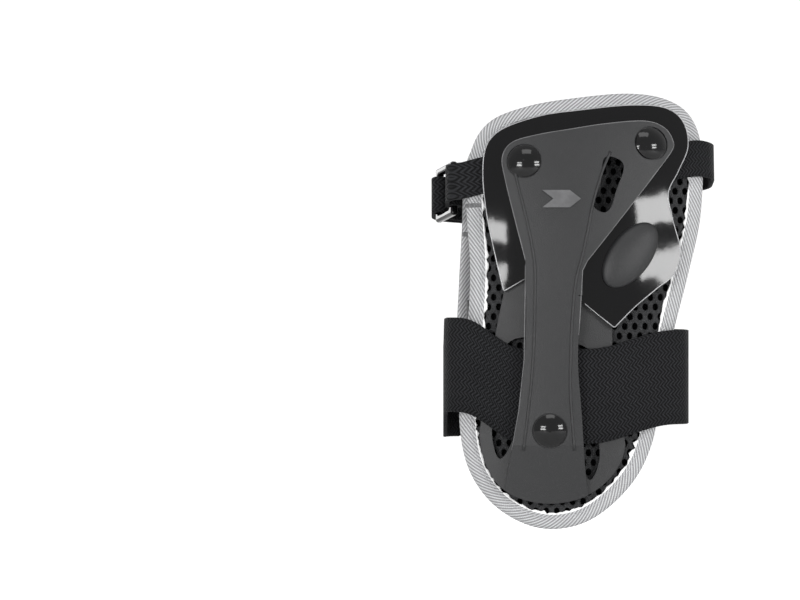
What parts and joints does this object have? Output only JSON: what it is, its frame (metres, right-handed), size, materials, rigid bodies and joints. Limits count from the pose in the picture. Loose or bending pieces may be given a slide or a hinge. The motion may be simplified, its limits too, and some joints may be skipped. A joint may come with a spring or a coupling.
{
  "type": "wrist guard",
  "caption": "Right-hand wrist guard with a palm skid plate, a Y-shaped splint, padded fabric panels, a ring-fastened hand strap and a wide wrist strap.",
  "frame": {"origin": "middle of the wrist's passage between the two panels, where the forearm's axis passes", "axes": "+Z along the hand to the fingers, +X to the thumb, the palm faces -Y and the back of the hand +Y"},
  "size_m": [0.1153, 0.0829, 0.176],
  "materials": {
    "lining": "brushed knit lining",
    "foam": "closed-cell foam",
    "mesh": "spacer mesh with oval holes",
    "binding": "grey twill tape",
    "webbing": "black woven webbing",
    "pile": "black hook and loop pile",
    "plate": "gloss black",
    "splint": "fine matte texture",
    "rivet": "gloss black",
    "ring": "moulded black",
    "cover": "grained, semi-gloss",
    "label": "grey, light edge",
    "label_yellow": "printed yellow",
    "thread": "light thread"
  },
  "bodies": {
    "guard": {"palm_lining": "lining", "back_lining": "lining", "little_finger_gusset": "lining", "thumb_gusset": "lining", "palm_foam": "foam", "back_foam": "foam", "back_cushion": "foam", "palm_mesh_panel": "mesh", "back_mesh_panel": "mesh", "palm_edge_binding": "binding", "back_edge_binding": "binding", "strap_keeper": "binding", "cover_seam_strip": "binding", "wrist_strap": "webbing", "hand_strap": "webbing", "ring_tab": "webbing", "wrist_loop_patch": "pile", "hand_loop_patch": "pile", "skid_plate": "plate", "palm_splint": "splint", "thenar_bump": "splint", "splint_emblem": "splint", "back_stay": "splint", "heel_rivet": "rivet", "index_finger_rivet": "rivet", "little_finger_rivet": "rivet", "heel_washer": "rivet", "index_finger_washer": "rivet", "little_finger_washer": "rivet", "back_cover": "cover", "cover_piping": "cover", "keeper_bar_tack": "thread", "little_finger_bar_tack": "thread", "thumb_bar_tack": "thread"},
    "wrist_flap": {"wrist_strap_flap": "webbing", "wrist_hook_patch": "pile", "label_patch": "label", "label_stitching": "thread", "label_mark": "label_yellow"},
    "ring": {"strap_ring": "ring", "hand_strap_turn": "webbing"},
    "hand_flap": {"hand_strap_flap": "webbing", "hand_hook_patch": "pile", "hand_pull_tab": "pile"}
  },
  "joints": [
    {"name": "wrist_flap_open", "type": "hinge", "parent": "guard", "child": "wrist_flap", "pos_m": [-0.0365, 0.02772, -0.0035], "axis": [0, 0, 1], "range_deg": [0, 140]},
    {"name": "ring_swing", "type": "hinge", "parent": "guard", "child": "ring", "pos_m": [-0.039, -0.00089, 0.07946], "axis": [0, 0.1875, 0.9823], "range_deg": [0, 35]},
    {"name": "hand_flap_open", "type": "hinge", "parent": "ring", "child": "hand_flap", "pos_m": [-0.0479, 0.01301, 0.0768], "axis": [0, 0.1875, 0.9823], "range_deg": [0, 110]}
  ]
}
